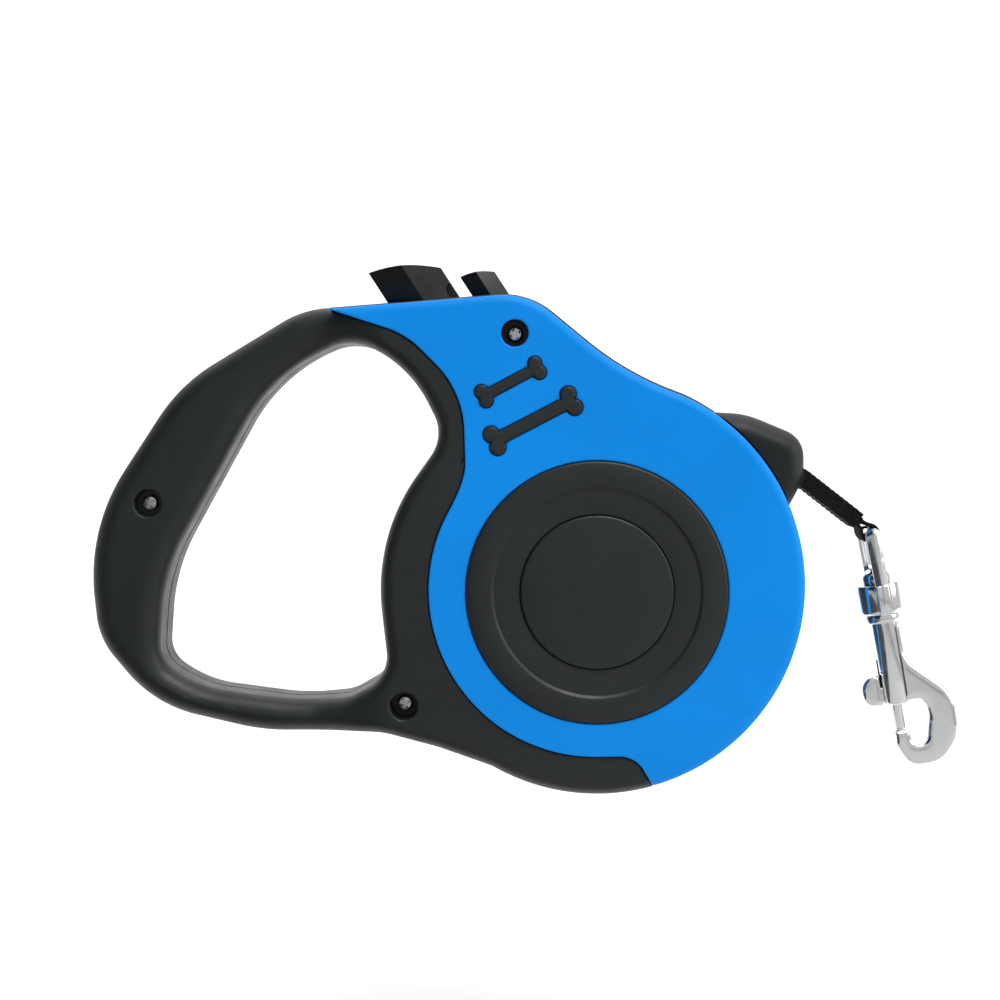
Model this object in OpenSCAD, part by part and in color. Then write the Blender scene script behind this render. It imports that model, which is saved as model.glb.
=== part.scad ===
// Retractable tape leash: a D-handled case with a sprung spool of flat tape, a brake button,
// a lock button, a tape nozzle and a swivel bolt snap on the sewn end of the tape.
//
// Frame: +X from the handle towards the clip, -Y towards the front cover, +Z up.
// The origin is the middle of the grip. Every outline is drawn in the X-Z plane with the
// spool's axis at (0, 0), and place() then moves it to the origin of the frame.

/* [Case] */
// Radius of the round part of the case
case_r = 48.1; // [47.8:0.1:48.6]
// Half of the width of the black band between the two covers
band_y = 7; // [6.8:0.1:7.2]
// Outer face of the blue covers, from the middle plane
cover_y = 14; // [13.8:0.1:14.5]
// Thickness of the covers' skirt
cover_wall = 1.8; // [1.4:0.1:2]
// Radius of the hub face that fills the covers' round window
hub_face_r = 29.8; // [28:0.1:31]
// Radius of the hub cap
hub_cap_r = 17.4; // [15:0.1:19]

/* [Spool and tape] */
// Width of the tape
tape_w = 10; // [8:0.5:10]
// Thickness of the tape
tape_t = 0.65; // [0.5:0.05:0.8]
// Outer radius of the fully wound tape
pack_r = 40; // [39:0.1:40.4]
// Outer radius of the spool's hub
hub_r = 23.8; // [23:0.1:25]
// Radius of the spool's flanges and ratchet
flange_r = 41.6; // [41:0.1:41.8]
// Number of ratchet notches
notches = 24; // [24:24:48]
// Turns of the power spring
spring_turns = 10; // [6:1:12]

/* [Buttons] */
// Lean of both buttons' travel from the vertical
button_lean = 33; // [33:0.5:33.5]
// Free travel of the brake button
brake_travel = 5; // [4:0.1:5]
// Free travel of the lock button
lock_travel = 4; // [3:0.1:4]

/* [Clip] */
// Lean of the hanging clip from the vertical
clip_lean = 9.3; // [5:0.1:12]
// Radius of the snap's barrel
barrel_r = 3.1; // [3:0.05:3.3]
// Radius of the sliding bolt
bolt_r = 1.45; // [1.3:0.05:1.5]

/* [Hidden] */
$fn = 64;
arc_step = 10;
fit = 0.05;
far = 90;

// Middle of the grip, seen from the spool's axis
grip = [-102, 20];

// Depths of the case, from the middle plane
handle_y = 10;
chamber_y = 10;
seat_y = 12;
rim_y = 13.3;
hub_face_y = 14.4;
hub_ring_y = 13.8;
bone_y = 14.3;
pocket_y = 12.4;

// Steps that round off the handle and the case: [depth where it starts, where it ends, inset]
HANDLE_STEPS = [[0, 5.5, 0], [5.5, 7.5, 0.7], [7.5, 9, 1.8], [9, handle_y, 3.4]];
CASE_STEPS = [[0, band_y, 0], [band_y, 11, 0.6], [11, 12.4, 1.4], [12.4, rim_y, 2.6]];
NOZZLE_STEPS = [[0, band_y, 0], [band_y, 8.4, 1.2], [8.4, 9.4, 3]];

// Corners of the outlines, clockwise: [x, z, corner radius]
round_centre = [0, 1.5];
OUTER = [
    [-15.7, 68.8, 18], [6.4, 50.6, 70], [20, 45.2, 0], [0, 1.5, 0], [-24, -40.2, 0],
    [-36.2, -35.9, 18], [-49, -32.5, 18], [-77, -32.6, 50], [-102, -26.8, 30], [-115, -11.5, 18],
    [-117.9, 14, 45], [-96.3, 47.4, 40], [-68.1, 64.6, 22]
];
OPENING = [
    [-56.5, 58.2, 12], [-42.7, 51, 28], [-34.9, 35.4, 9], [-51.3, 12.3, 45], [-47.6, -19.4, 8],
    [-57.2, -24.8, 9], [-69, -25.6, 50], [-91.5, -22.6, 26], [-101, -16.4, 7], [-99.8, 4, 45],
    [-75, 49.5, 40]
];
cover_edge_centre = [-0.5, 0.4];
cover_edge_r = 37.9;
BLACK_ZONE = [
    [-64, far, 0], [-61.5, 64.4, 0.8], [-43.5, 58.5, 20], [-30.6, 45.5, 22], [-30, 27, 14],
    [-31.9, 21.6, 0], [-0.5, 0.4, 0], [-0.5, -37.5, 0], [8.6, -37.4, 6], [14.6, -47.5, 0],
    [14.6, -far, 0], [-far - 60, -far, 0], [-far - 60, far, 0]
];
CASE_ZONE = [
    [-64, far, 0], [far, far, 0], [far, -far, 0], [-50, -far, 0], [-50, 48, 0], [-58, 54, 0]
];
HEAD_CAVITY = [
    [-48, 61.6, 2], [-17.5, 64, 10], [-1, 52.5, 20], [24, 34, 0], [0, 0, 0], [-28.3, 31, 0],
    [-33, 44, 3], [-41, 54.5, 3], [-48, 57.8, 1]
];
NOZZLE = [
    [24, 41.2, 0], [35, 40.6, 20], [48.4, 35, 6.5], [48.4, 25.5, 6], [44, 17.3, 0],
    [36, 10, 0], [10, 30, 0]
];
cavity_r = 42.3;
wall = 2.6;

// Bone pads: [centre x, centre z, angle, length, half spacing of the lobes, lobe radius, shaft width]
BONES = [[-19.7, 47.7, 28, 13.7, 1.15, 1.6, 2.3], [-14.6, 38.9, 27.5, 19.7, 1.65, 1.85, 2.9]];
pad_gap = 0.1;

// Case screws: [x, z, how deep the head lies]
SCREWS = [[-18.7, 58.9, 7.2], [-44, -26, 7.2], [-103, 20, 6]];
recess_r = 3.15;
recess_wall = 1.3;
boss_r = 2;
head_r = 1.8;
head_h = 1.4;
shank_r = 1;
screw_end_y = 7;

// Spool
tape_gap = 0.15;
flange_t = 1.5;
ratchet_y = 9.2;
ratchet_in_r = 34;
notch_w = 6.2;
notch_phase = 3;
notch_root_r = 37.8;
arbor_r = 4;
boss_out_r = 7;
chamber_r = 21.2;
spool_cover_t = 1.4;
spool_cover_r = 26;
arbor_end_y = 11.5;
arbor_slot = 0.9;
arbor_slot_y = 4.8;
anchor_r = 0.9;
anchor_place_r = 22.5;
flange_in_y = tape_w / 2 + 0.3;
flange_out_y = flange_in_y + flange_t;
spring_t = 0.35;
spring_in_r = 5.2;
spring_out_r = 20.6;
spring_back_y = 6;
spring_front_y = 4.6;

// Tape between the winding and the clip
run_start = [12.2, 38.7];
run_bend = [44.4, 28.7];
tape_exit = [47.3, 26.4];
exit_fall = 38;
slot_t = 1.5;
slot_w = 10.8;
mouth_t = 4.7;
mouth_depth = 1.2;
stack_start = 0.2;
stack_length = 18.2;
stack_t = 3.9;
stack_round = 1.4;
exit_dir = [cos(exit_fall), -sin(exit_fall)];

// Clip: its pivot in the tape's loop, and heights measured down its own axis from there
clip_pivot = [64.1, 12.6];
eye_bar_r = 1;
loop_in_r = 1.1;
loop_out_r = 2.2;
loop_y = 4.6;
leg_in_y = 5.3;
leg_out_y = 7.1;
leg_w = 3.5;
block_top = 11.9;
block_end = 19;
block_r = 5.1;
post_r = 2;
head_dome_r = 3.4;
head_top = 8.3;
collar_r = 3.9;
collar_top = 19.2;
collar_end = 21.4;
barrel_end = 40.4;
bore_r = bolt_r + 0.1;
bore_top = 24.3;
bolt_top = 36;
bolt_end = 46.4;
key_w = 2;
key_top = 36.2;
key_end = 39.6;
key_slot_top = 29.6;
knob_y = 2.3;
HOOK = [
    [0, -22, 0], [3.3, -22, 0], [3.5, -30.6, 6], [13.3, -40, 9], [13.1, -50.2, 8], [8, -55.4, 6],
    [0.6, -55.5, 4], [-1.9, -50, 3], [-1.7, -46.6, 0.4], [1.6, -46.6, 0.4], [2.1, -50.4, 1.4],
    [5.3, -50.3, 1.6], [6.8, -44.5, 8], [6.4, -39.9, 2.4], [0, -40.4, 0]
];
HOOK_STEPS = [[0, 1.5, 0], [1.5, 2.1, 0.4], [2.1, 2.5, 1]];
KNOB = [[-3.3, -32.8, 1], [-7.7, -33.6, 3.6], [-7.7, -40.3, 2.6], [-3.3, -40.3, 0.4]];

// Buttons, in their own frames: across the travel, and down it from the top of the cap
brake_top = [-44.9, 74.5];
brake_half_w = 7.4;
brake_half_y = 6.3;
brake_end_y = 3.6;
brake_arch = [-42.1, 40.1, 35];
scoop = [7.9, 11, 2.5];
scoop_web_y = 1.5;
brake_cap_end = 18.4;
brake_flange_top = 15.9;
brake_channel = 24;
brake_pawl_x = -3;
brake_pawl_w = 3.4;
brake_pawl_end = 43.6;
lock_top = [-27.7, 73.2];
lock_half_w = 3.7;
lock_half_y = 5.2;
lock_end_y = 3.4;
lock_arch = [-25.3, 58.1, 15.7];
lock_cap_end = 24;
lock_bridge_top = 21.8;
lock_channel = 16;
lock_foot_x = -7.6;
lock_pawl_x = -6;
lock_pawl_w = 3;
lock_pawl_end = 34.9;
screw_slot_half_w = 2.4;
screw_slot_top = 10.4;
screw_slot_end = 19.4;
pawl_front_y = 9.2;
pawl_back_y = 7;
button_gap = 0.3;
brake_spring_r = 3;
brake_spring_wire = 0.4;
brake_spring_coils = 5;
brake_seat_top = 30;
brake_seat_t = 2;
snap_spring_r = 1.2;
snap_spring_wire = 0.2;
snap_spring_coils = 7;

// ---- outlines ----

function unit(v) = v / norm(v);
function spot(c) = [c[0], c[1]];
function towards(c, i, step) = unit(spot(c[(i + step + len(c)) % len(c)]) - spot(c[i]));
function turn(c, i) = sign(cross(-towards(c, i, -1), towards(c, i, 1)));
function half_angle(c, i) = acos(towards(c, i, -1) * towards(c, i, 1)) / 2;
function bisector(c, i) = unit(towards(c, i, -1) + towards(c, i, 1));

// Points on an arc between two angles
function arc(centre, r, from, to) =
    let (n = ceil(abs(to - from) / arc_step))
    [for (s = [0:n]) centre + r * [cos(from + (to - from) * s / n), sin(from + (to - from) * s / n)]];

function corner_arc(c, i) =
    let (
        h = half_angle(c, i),
        r = c[i][2],
        centre = spot(c[i]) + bisector(c, i) * r / sin(h),
        start = spot(c[i]) + towards(c, i, -1) * r / tan(h) - centre,
        a = atan2(start[1], start[0])
    )
    r == 0 ? [spot(c[i])] : arc(centre, r, a, a + turn(c, i) * (180 - 2 * h));

// Outline through rounded corners
function rounded(c) = [for (i = [0:len(c) - 1]) each corner_arc(c, i)];

// The corners of the same outline, drawn clockwise, moved inwards by d
function inset(c, d) = [
    for (i = [0:len(c) - 1])
    let (s = -turn(c, i))
    concat(
        spot(c[i]) + s * bisector(c, i) * d / sin(half_angle(c, i)),
        c[i][2] == 0 ? 0 : max(c[i][2] - s * d, 0)
    )
];

module place() translate([-grip[0], 0, -grip[1]]) children();

// A flat outline in the X-Z plane, thickened from depth y0 to y1
module slab(y0, y1) translate([0, y1, 0]) rotate([90, 0, 0]) linear_extrude(y1 - y0) children();

// A round bar along Y through a point of the X-Z plane
module bar_y(x, z, r, y0, y1) translate([x, y1, z]) rotate([90, 0, 0]) cylinder(r = r, h = y1 - y0);

// A straight band from p to q, w wide
module band(p, q, w) {
    d = q - p;
    translate(p) rotate(atan2(d[1], d[0])) translate([0, -w / 2]) square([norm(d), w]);
}

// Coil spring of round wire, its coils stacked along Z from z = 0
module coil_spring(r, wire, length, coils) {
    sides = 6;
    steps = 10;
    n = coils * steps;
    points = [
        for (s = [0:n], k = [0:sides - 1])
        let (a = 360 * s / steps, b = 360 * k / sides, q = r + wire * cos(b))
        [q * cos(a), q * sin(a), wire + (length - 2 * wire) * s / n + wire * sin(b)]
    ];
    faces = concat(
        [[for (k = [0:sides - 1]) k]],
        [for (s = [0:n - 1], k = [0:sides - 1])
            let (a = s * sides + k, b = s * sides + (k + 1) % sides)
            each [[a, a + sides, b + sides], [a, b + sides, b]]],
        [[for (k = [sides - 1:-1:0]) n * sides + k]]
    );
    polyhedron(points, faces);
}

// ---- case ----

// Case and handle seen from the front, moved inwards by d, with the hand opening
module loop_2d(d) {
    difference() {
        union() {
            polygon(rounded(inset(OUTER, d)));
            translate(round_centre) circle(case_r - d, $fn = 96);
        }
        polygon(rounded(inset(OPENING, -d)));
    }
}

// Everything that no cover lies over
module black_zone() {
    difference() {
        polygon(rounded(BLACK_ZONE));
        translate(cover_edge_centre) circle(cover_edge_r, $fn = 96);
    }
}

module cover_zone() {
    difference() {
        translate([-far, -far]) square(2 * far);
        black_zone();
    }
}

module bone_2d(b, grow) {
    translate([b[0], b[1]]) rotate(b[2]) {
        square([b[3], b[6] + 2 * grow], center = true);
        for (x = [-1, 1], z = [-1, 1]) translate([x * b[3] / 2, z * b[4]]) circle(b[5] + grow, $fn = 24);
    }
}

module nozzle_2d() {
    difference() {
        polygon(rounded(NOZZLE));
        circle(cavity_r + 0.1, $fn = 96);
    }
}

// Shape that a button's cap keeps all the way down: six sides, widest in the middle
module cap_2d(half_w, half_y, end_y, grow) {
    x = half_w + grow;
    e = end_y + grow;
    m = half_y + grow;
    polygon([[-x, -e], [0, -m], [x, -e], [x, e], [0, m], [-x, e]]);
}

// Puts a shape drawn around +Z, downwards from z = 0, on a button's line of travel
module along_button(top) translate([top[0], 0, top[1]]) rotate([0, -button_lean, 0]) children();

module channel(top, half_w, half_y, end_y, depth) {
    along_button(top) translate([0, 0, -depth]) linear_extrude(depth + 8)
        cap_2d(half_w, half_y, end_y, button_gap);
}

// Front half of the case, as a solid with its cavities
module half_case() {
    difference() {
        union() {
            for (s = HANDLE_STEPS) slab(-s[1], -s[0]) loop_2d(s[2]);
            for (s = CASE_STEPS) slab(-s[1], -s[0]) intersection() {
                loop_2d(s[2]);
                polygon(rounded(CASE_ZONE));
            }
        }
        slab(-far, -band_y) difference() {
            cover_zone();
            loop_2d(wall);
        }
        slab(-far, -seat_y) cover_zone();
        slab(-chamber_y, 1) {
            circle(cavity_r, $fn = 96);
            polygon(rounded(HEAD_CAVITY));
        }
        slab(-HANDLE_STEPS[2][0], 1) difference() {
            loop_2d(wall);
            polygon(rounded(CASE_ZONE));
            translate([SCREWS[2][0], SCREWS[2][1]]) circle(recess_r + recess_wall);
        }
        slab(-band_y, 1) polygon(rounded(NOZZLE));
        channel(brake_top, brake_half_w, brake_half_y, brake_end_y, brake_channel);
        channel(lock_top, lock_half_w, lock_half_y, lock_end_y, lock_channel);
        bar_y(0, 0, hub_cap_r + fit, -far, -pocket_y);
        bar_y(0, 0, arbor_r + fit, -arbor_end_y - fit, 0);
    }
}

// The hub face and the bones, which stand in the covers' windows
module pads() {
    difference() {
        union() {
            bar_y(0, 0, hub_face_r, -hub_face_y, -seat_y);
            for (b = BONES) slab(-bone_y, -seat_y) bone_2d(b, 0);
        }
        difference() {
            bar_y(0, 0, hub_face_r - 6, -far, -hub_ring_y);
            bar_y(0, 0, hub_cap_r, -far, 0);
        }
        bar_y(0, 0, hub_cap_r + fit, -far, -pocket_y);
    }
}

module front_shell() {
    color("#26272a") place() difference() {
        union() {
            half_case();
            pads();
            bar_y(SCREWS[0][0], SCREWS[0][1], boss_r, -chamber_y, 0);
            bar_y(SCREWS[0][0], SCREWS[0][1], recess_r + recess_wall, -seat_y, -5.8);
        }
        for (s = SCREWS) {
            bar_y(s[0], s[1], shank_r + fit, -far, 1);
            bar_y(s[0], s[1], recess_r, -far, -s[2]);
        }
    }
}

module rear_shell() {
    color("#26272a") place() {
        difference() {
            union() {
                mirror([0, 1, 0]) half_case();
                mirror([0, 1, 0]) pads();
                bar_y(SCREWS[0][0], SCREWS[0][1], boss_r, 0, chamber_y);
            }
            for (s = SCREWS) bar_y(s[0], s[1], shank_r + fit, -1, screw_end_y + fit);
        }
        // seat of the brake button's spring
        along_button(brake_top) translate([-3, -4.2, -brake_seat_top - brake_seat_t])
            cube([8, chamber_y + 4.3, brake_seat_t]);
    }
}

module cover() {
    difference() {
        union() {
            slab(-cover_y, -seat_y) difference() {
                intersection() {
                    loop_2d(0.7);
                    cover_zone();
                }
                circle(hub_face_r + pad_gap, $fn = 96);
                for (b = BONES) bone_2d(b, pad_gap);
            }
            slab(-seat_y, -band_y) difference() {
                intersection() {
                    loop_2d(0.7);
                    cover_zone();
                }
                loop_2d(0.7 + cover_wall);
            }
        }
        slab(-far, -cover_y + 0.8) difference() {
            translate([-far, -far]) square(2 * far);
            loop_2d(1.5);
        }
    }
}

module front_cover() {
    color("#0a80dc") place() difference() {
        cover();
        bar_y(SCREWS[0][0], SCREWS[0][1], recess_r, -far, 0);
    }
}

module rear_cover() color("#0a80dc") place() mirror([0, 1, 0]) cover();

module hub_cap() bar_y(0, 0, hub_cap_r, -hub_face_y, -pocket_y);

module front_hub_cap() color("#383a3b") place() hub_cap();

module rear_hub_cap() color("#383a3b") place() mirror([0, 1, 0]) hub_cap();

module tape_nozzle() {
    color("#303331") place() difference() {
        for (side = [0, 1]) mirror([0, side, 0]) for (s = NOZZLE_STEPS) slab(-s[1], -s[0]) difference() {
            polygon(rounded(inset(NOZZLE, s[2])));
            circle(cavity_r + 0.1, $fn = 96);
            if (s[0] > 0) loop_2d(-0.1);
        }
        slab(-slot_w / 2, slot_w / 2) {
            band(run_start, run_bend + unit(run_bend - run_start) * 0.6, slot_t);
            band(run_bend - exit_dir * 0.4, tape_exit + exit_dir * 5, slot_t);
            band(tape_exit - exit_dir * mouth_depth, tape_exit + exit_dir * 5, mouth_t);
        }
    }
}

module case_screws() {
    color("silver") place() for (s = SCREWS) difference() {
        union() {
            bar_y(s[0], s[1], head_r, -s[2] - head_h, -s[2]);
            bar_y(s[0], s[1], shank_r, -s[2], screw_end_y);
        }
        for (a = [0, 90]) translate([s[0], -s[2] - head_h, s[1]]) rotate([0, a, 0])
            cube([2.2, 1.4, 0.5], center = true);
    }
}

// ---- spool ----

module spring_arbor() {
    color("dimgray") place() difference() {
        bar_y(0, 0, arbor_r, -arbor_end_y, arbor_end_y);
        translate([-arbor_slot / 2, -arbor_slot_y, -arbor_r - 1])
            cube([arbor_slot, arbor_slot_y + spring_back_y + 0.2, arbor_r + 3.4]);
    }
}

module spool() {
    color("#d8d8d2") place() difference() {
        union() {
            bar_y(0, 0, flange_r, -flange_out_y, -flange_in_y);
            bar_y(0, 0, flange_r, flange_in_y, flange_out_y);
            bar_y(0, 0, hub_r, -flange_in_y, flange_in_y);
            bar_y(0, 0, boss_out_r, -ratchet_y, -flange_in_y);
            difference() {
                bar_y(0, 0, flange_r, -ratchet_y, -flange_out_y);
                bar_y(0, 0, ratchet_in_r, -ratchet_y - 1, -flange_out_y);
                for (n = [0:notches - 1]) rotate([0, -notch_phase - n * 360 / notches, 0])
                    translate([notch_root_r, -ratchet_y - 1, -notch_w / 2])
                    cube([8, ratchet_y + 1 - flange_out_y, notch_w]);
            }
        }
        bar_y(0, 0, chamber_r, -flange_in_y + 0.4, far);
        bar_y(0, 0, arbor_r + fit, -far, far);
        bar_y(0, -anchor_place_r, anchor_r + fit, -tape_w / 2, tape_w / 2);
    }
}

module spool_cover() {
    color("#d8d8d2") place() difference() {
        bar_y(0, 0, spool_cover_r, flange_out_y, flange_out_y + spool_cover_t);
        bar_y(0, 0, arbor_r + fit, 0, far);
    }
}

// Flat strip wound in a spiral, its inner end bent into the arbor's slot
module power_spring() {
    steps = 20;
    n = spring_turns * steps;
    pitch = (spring_out_r - spring_in_r) / n;
    r = function(s) spring_in_r + pitch * s;
    spiral = function(s, side) (r(s) + side * spring_t / 2) * [cos(360 * s / steps - 90), sin(360 * s / steps - 90)];
    color("#6f7377") place() slab(-spring_front_y, spring_back_y) {
        polygon(concat([for (s = [0:n]) spiral(s, 1)], [for (s = [n:-1:0]) spiral(s, -1)]));
        translate([-spring_t / 2, -spring_in_r]) square([spring_t, spring_in_r - 1.5]);
    }
}

module wound_tape() {
    color("#161616") place() difference() {
        bar_y(0, 0, pack_r, -tape_w / 2, tape_w / 2);
        bar_y(0, 0, hub_r + tape_gap, -far, far);
    }
}

module tape_anchor_pin() {
    color("silver") place() bar_y(0, -anchor_place_r, anchor_r, -tape_w / 2, tape_w / 2);
}

// ---- tape outside the winding ----

module tape_run() {
    color("#161616") place() slab(-tape_w / 2, tape_w / 2) {
        band(run_start + unit(run_bend - run_start) * 0.5, run_bend, tape_t);
        translate(run_bend) circle(tape_t / 2, $fn = 24);
        band(run_bend, tape_exit, tape_t);
    }
}

module tape_end() {
    start = tape_exit + exit_dir * stack_start;
    end = start + exit_dir * (stack_length - stack_round);
    color("#161616") place() {
        slab(-tape_w / 2, tape_w / 2) {
            band(start, end, stack_t);
            band(end, end + exit_dir * stack_round, stack_t - 2 * stack_round);
            for (side = [-1, 1])
                translate(end + side * (stack_t / 2 - stack_round) * [exit_dir[1], -exit_dir[0]])
                circle(stack_round, $fn = 24);
        }
        slab(-loop_y, loop_y) difference() {
            union() {
                band(end, clip_pivot, 1.1);
                translate(clip_pivot) circle(loop_out_r, $fn = 32);
            }
            translate(clip_pivot) circle(loop_in_r, $fn = 32);
        }
    }
}

// ---- buttons ----

// The cap and its stem. An arch, nearly level where the thumb rests, cuts the slanted prism off.
module cap(top, half_w, half_y, end_y, length, arch) {
    intersection() {
        along_button(top) translate([0, 0, -length]) linear_extrude(length + 8)
            cap_2d(half_w, half_y, end_y, 0);
        bar_y(arch[0], arch[1], arch[2], -far, far, $fn = 128);
    }
}

module pawl(x, w, from, to) {
    translate([x - w / 2, -pawl_front_y, -to]) cube([w, pawl_front_y - pawl_back_y, to - from]);
}

module brake_button() {
    color("#1c1d1e") place() {
        difference() {
            cap(brake_top, brake_half_w, brake_half_y, brake_end_y, brake_cap_end, brake_arch);
            for (side = [0, 1]) mirror([0, side, 0])
                along_button(brake_top) bar_y(scoop[0], -scoop[1], scoop[2], scoop_web_y, far);
        }
        along_button(brake_top) {
            translate([brake_pawl_x - 2.6, -pawl_front_y, -brake_cap_end])
                cube([5.2, pawl_front_y, brake_cap_end - brake_flange_top]);
            pawl(brake_pawl_x, brake_pawl_w, brake_flange_top, brake_pawl_end);
        }
    }
}

module lock_button() {
    color("#1c1d1e") place() {
        difference() {
            cap(lock_top, lock_half_w, lock_half_y, lock_end_y, lock_cap_end, lock_arch);
            along_button(lock_top) translate([-0.2 - screw_slot_half_w, -far, -screw_slot_end])
                cube([2 * screw_slot_half_w, 2 * far, screw_slot_end - screw_slot_top]);
        }
        along_button(lock_top) {
            translate([lock_foot_x, -pawl_front_y, -lock_cap_end])
                cube([lock_half_w - lock_foot_x, pawl_front_y + 3, lock_cap_end - lock_bridge_top]);
            pawl(lock_pawl_x, lock_pawl_w, lock_bridge_top, lock_pawl_end);
        }
    }
}

module brake_spring() {
    length = brake_seat_top - brake_cap_end;
    color("silver") place() along_button(brake_top) translate([1, 0, -brake_seat_top])
        coil_spring(brake_spring_r, brake_spring_wire, length, brake_spring_coils);
}

// ---- clip ----

// Puts a shape drawn around its own axis, downwards from z = 0, on the hanging clip
module on_clip() translate([clip_pivot[0], 0, clip_pivot[1]]) rotate([0, -clip_lean, 0]) children();

module drum(r, top, end) translate([0, 0, -end]) cylinder(r = r, h = end - top);

module swivel_eye() {
    color("silver") place() on_clip() difference() {
        union() {
            bar_y(0, 0, eye_bar_r, -leg_out_y, leg_out_y);
            for (side = [0, 1]) mirror([0, side, 0]) {
                bar_y(0, 0, leg_w / 2, leg_in_y, leg_out_y);
                translate([-leg_w / 2, leg_in_y, -block_end]) cube([leg_w, leg_out_y - leg_in_y, block_end]);
            }
            drum(block_r, block_top, block_end);
            translate([-leg_w / 2, -leg_out_y, -block_end])
                cube([leg_w, 2 * leg_out_y, block_end - block_top]);
        }
        drum(post_r + fit, 0, far);
    }
}

module snap_body() {
    color("silver") place() on_clip() difference() {
        union() {
            intersection() {
                translate([0, 0, -head_top - head_dome_r]) sphere(r = head_dome_r);
                drum(head_dome_r, head_top, block_top - 0.1);
            }
            drum(post_r, block_top - 0.2, collar_end);
            drum(collar_r, collar_top, collar_end);
            drum(barrel_r, collar_end, barrel_end);
            for (side = [0, 1]) mirror([0, side, 0]) for (s = HOOK_STEPS) slab(s[0], s[1])
                polygon(rounded(inset(HOOK, s[2])));
        }
        drum(bore_r, bore_top, barrel_end + 1);
        translate([-far, -key_w / 2 - fit, -barrel_end - 1]) cube([far, key_w + 2 * fit, barrel_end + 1 - key_slot_top]);
    }
}

module snap_bolt() {
    color("silver") place() on_clip() {
        drum(bolt_r, bolt_top, bolt_end);
        translate([KNOB[0][0] - 1, -key_w / 2, -key_end]) cube([1 - KNOB[0][0], key_w, key_end - key_top]);
        slab(-knob_y, knob_y) polygon(rounded(KNOB));
    }
}

module snap_spring() {
    color("silver") place() on_clip() translate([0, 0, -bolt_top])
        coil_spring(snap_spring_r, snap_spring_wire, bolt_top - bore_top, snap_spring_coils);
}

front_shell();
rear_shell();
front_cover();
rear_cover();
front_hub_cap();
rear_hub_cap();
tape_nozzle();
case_screws();
spring_arbor();
power_spring();
brake_spring();
spool();
spool_cover();
wound_tape();
tape_anchor_pin();
tape_run();
tape_end();
brake_button();
lock_button();
swivel_eye();
snap_body();
snap_bolt();
snap_spring();
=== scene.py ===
import math

import bmesh
import bpy
import numpy as np
from mathutils import Matrix, Vector
from mathutils.geometry import delaunay_2d_cdt


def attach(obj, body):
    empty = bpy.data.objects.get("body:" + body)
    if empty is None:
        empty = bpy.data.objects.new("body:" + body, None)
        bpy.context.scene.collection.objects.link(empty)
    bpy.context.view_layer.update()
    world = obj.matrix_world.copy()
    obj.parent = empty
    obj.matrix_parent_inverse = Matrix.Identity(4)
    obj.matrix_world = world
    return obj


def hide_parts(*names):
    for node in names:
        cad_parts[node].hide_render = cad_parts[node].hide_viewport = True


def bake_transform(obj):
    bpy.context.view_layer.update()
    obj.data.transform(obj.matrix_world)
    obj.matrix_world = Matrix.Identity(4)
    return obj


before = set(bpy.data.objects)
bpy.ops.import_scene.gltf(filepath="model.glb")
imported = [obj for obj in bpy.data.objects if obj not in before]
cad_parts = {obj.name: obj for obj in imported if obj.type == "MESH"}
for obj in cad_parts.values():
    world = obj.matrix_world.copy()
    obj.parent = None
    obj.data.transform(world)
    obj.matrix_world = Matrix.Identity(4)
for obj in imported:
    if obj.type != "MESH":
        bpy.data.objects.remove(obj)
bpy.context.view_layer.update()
scene = bpy.context.scene

# Shapes are drawn in millimetres with the spool's axis at (0, 0), as (x, z) outlines with a depth from the
# middle plane, and go into the part's frame when they become objects.
MM = 0.001
SHIFT = Vector((102.0, 0.0, -20.0))


def place(x, y, z):
    return (Vector((x, y, z)) + SHIFT) * MM


# ---------------------------------------------------------------- camera

camera = bpy.data.objects.new("camera", bpy.data.cameras.new("camera"))
scene.collection.objects.link(camera)
scene.camera = camera
camera.location = place(-10.7, -400.0, 36.83)
camera.rotation_euler = (math.radians(90), 0, 0)
camera.data.sensor_width = 36.0
camera.data.lens = 36.0 * 400.0 / 235.0
camera.data.shift_x = -0.05
camera.data.shift_y = -0.07
camera.data.clip_start = 0.01
camera.data.clip_end = 20.0

# ---------------------------------------------------------------- materials


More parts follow.
